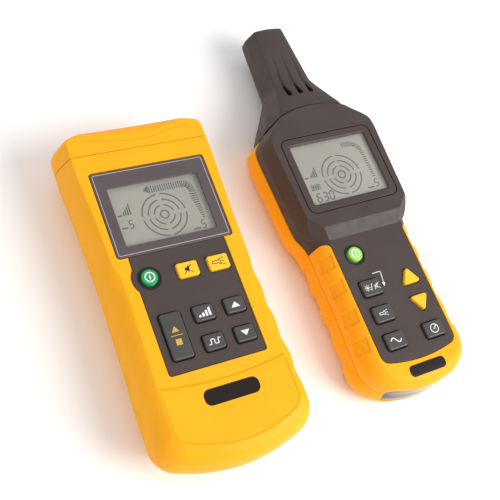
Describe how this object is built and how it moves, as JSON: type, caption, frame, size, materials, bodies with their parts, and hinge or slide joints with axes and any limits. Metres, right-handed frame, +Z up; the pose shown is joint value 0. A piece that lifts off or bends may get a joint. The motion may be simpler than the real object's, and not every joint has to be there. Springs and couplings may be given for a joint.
{
  "type": "circuit breaker finder",
  "caption": "Hand-held circuit breaker finder: a box-shaped signal transmitter with display and keypad, and a receiver with a probe, display and keypad.",
  "frame": {"origin": "middle of the footprint of the two units laid side by side, on the surface they lie on", "axes": "+Z up out of the front faces, +Y towards the top ends of both units, +X from the transmitter to the receiver"},
  "size_m": [0.2012, 0.248, 0.0435],
  "materials": {
    "yellow_shell": "satin moulded ABS",
    "dark_shell": "fine matt texture",
    "bezel": "printed clear-coated panel",
    "window": "clear, gloss",
    "lcd": "reflective liquid-crystal display",
    "green_key": "satin",
    "lime_key": "satin",
    "yellow_key": "satin",
    "dark_key": "fine matt",
    "silicone": "matt",
    "board": "solder mask",
    "cell": "printed metal sleeve",
    "red_socket": "gloss",
    "black_plastic": "matt",
    "lens": "clear, gloss",
    "end_insert": "dark translucent",
    "screw_steel": "zinc plated",
    "copper": "enamelled wire"
  },
  "bodies": {
    "transmitter": {"tx_front_shell": "yellow_shell", "tx_back_shell": "yellow_shell", "tx_end_cap": "yellow_shell", "tx_socket_signal": "red_socket", "tx_socket_earth": "black_plastic", "tx_torch_lens": "lens", "tx_display_bezel": "bezel", "tx_display_window": "window", "tx_display_module": "lcd", "tx_keypad_panel": "dark_shell", "tx_keypad_mat": "silicone", "tx_circuit_board": "board", "tx_buzzer": "black_plastic", "tx_battery": "cell", "tx_battery_door": "yellow_shell", "tx_door_screw": "screw_steel", "tx_case_screw_1": "screw_steel", "tx_case_screw_2": "screw_steel", "tx_case_screw_3": "screw_steel", "tx_case_screw_4": "screw_steel"},
    "receiver": {"rx_front_shell": "dark_shell", "rx_grip": "yellow_shell", "rx_back_shell": "yellow_shell", "rx_battery_door": "yellow_shell", "rx_door_screw": "screw_steel", "rx_end_insert": "end_insert", "rx_probe": "dark_shell", "rx_torch_lens": "lens", "rx_coil_core": "black_plastic", "rx_sensor_coil": "copper", "rx_display_frame": "dark_shell", "rx_display_window": "window", "rx_display_module": "lcd", "rx_keypad_mat": "silicone", "rx_circuit_board": "board", "rx_cell_1": "cell", "rx_cell_2": "cell", "rx_cell_3": "cell", "rx_cell_4": "cell", "rx_cell_5": "cell", "rx_cell_6": "cell", "rx_case_screw_1": "screw_steel", "rx_case_screw_2": "screw_steel", "rx_case_screw_3": "screw_steel", "rx_case_screw_4": "screw_steel"},
    "tx_power_key": {"tx_power_key": "green_key"},
    "tx_mute_key": {"tx_mute_key": "yellow_key"},
    "tx_torch_key": {"tx_torch_key": "yellow_key"},
    "tx_level_key": {"tx_level_key": "dark_key"},
    "tx_up_key": {"tx_up_key": "dark_key"},
    "tx_code_key": {"tx_code_key": "dark_key"},
    "tx_down_key": {"tx_down_key": "dark_key"},
    "tx_start_stop_key": {"tx_start_stop_key": "dark_key"},
    "rx_power_key": {"rx_power_key": "lime_key"},
    "rx_backlight_key": {"rx_backlight_key": "dark_key"},
    "rx_torch_key": {"rx_torch_key": "dark_key"},
    "rx_voltage_key": {"rx_voltage_key": "dark_key"},
    "rx_manual_key": {"rx_manual_key": "dark_key"},
    "rx_level_up_key": {"rx_level_up_key": "yellow_key"},
    "rx_level_down_key": {"rx_level_down_key": "yellow_key"}
  },
  "joints": [
    {"name": "receiver_lift", "type": "slide", "parent": "transmitter", "child": "receiver", "axis": [0, 0, 1], "range_m": [0, 0.1]},
    {"name": "tx_power_key_press", "type": "slide", "parent": "transmitter", "child": "tx_power_key", "axis": [0, 0, -1], "range_m": [0, 0.001], "stiffness_N_per_m": 600},
    {"name": "tx_mute_key_press", "type": "slide", "parent": "transmitter", "child": "tx_mute_key", "axis": [0, 0, -1], "range_m": [0, 0.001], "stiffness_N_per_m": 600},
    {"name": "tx_torch_key_press", "type": "slide", "parent": "transmitter", "child": "tx_torch_key", "axis": [0, 0, -1], "range_m": [0, 0.001], "stiffness_N_per_m": 600},
    {"name": "tx_level_key_press", "type": "slide", "parent": "transmitter", "child": "tx_level_key", "axis": [0, 0, -1], "range_m": [0, 0.001], "stiffness_N_per_m": 600},
    {"name": "tx_up_key_press", "type": "slide", "parent": "transmitter", "child": "tx_up_key", "axis": [0, 0, -1], "range_m": [0, 0.001], "stiffness_N_per_m": 600},
    {"name": "tx_code_key_press", "type": "slide", "parent": "transmitter", "child": "tx_code_key", "axis": [0, 0, -1], "range_m": [0, 0.001], "stiffness_N_per_m": 600},
    {"name": "tx_down_key_press", "type": "slide", "parent": "transmitter", "child": "tx_down_key", "axis": [0, 0, -1], "range_m": [0, 0.001], "stiffness_N_per_m": 600},
    {"name": "tx_start_stop_key_press", "type": "slide", "parent": "transmitter", "child": "tx_start_stop_key", "axis": [0, 0, -1], "range_m": [0, 0.001], "stiffness_N_per_m": 600},
    {"name": "rx_power_key_press", "type": "slide", "parent": "receiver", "child": "rx_power_key", "axis": [0, 0, -1], "range_m": [0, 0.001], "stiffness_N_per_m": 600},
    {"name": "rx_backlight_key_press", "type": "slide", "parent": "receiver", "child": "rx_backlight_key", "axis": [0, 0, -1], "range_m": [0, 0.001], "stiffness_N_per_m": 600},
    {"name": "rx_torch_key_press", "type": "slide", "parent": "receiver", "child": "rx_torch_key", "axis": [0, 0, -1], "range_m": [0, 0.001], "stiffness_N_per_m": 600},
    {"name": "rx_voltage_key_press", "type": "slide", "parent": "receiver", "child": "rx_voltage_key", "axis": [0, 0, -1], "range_m": [0, 0.001], "stiffness_N_per_m": 600},
    {"name": "rx_manual_key_press", "type": "slide", "parent": "receiver", "child": "rx_manual_key", "axis": [0, 0, -1], "range_m": [0, 0.001], "stiffness_N_per_m": 600},
    {"name": "rx_level_up_key_press", "type": "slide", "parent": "receiver", "child": "rx_level_up_key", "axis": [0, 0, -1], "range_m": [0, 0.001], "stiffness_N_per_m": 600},
    {"name": "rx_level_down_key_press", "type": "slide", "parent": "receiver", "child": "rx_level_down_key", "axis": [0, 0, -1], "range_m": [0, 0.001], "stiffness_N_per_m": 600}
  ]
}
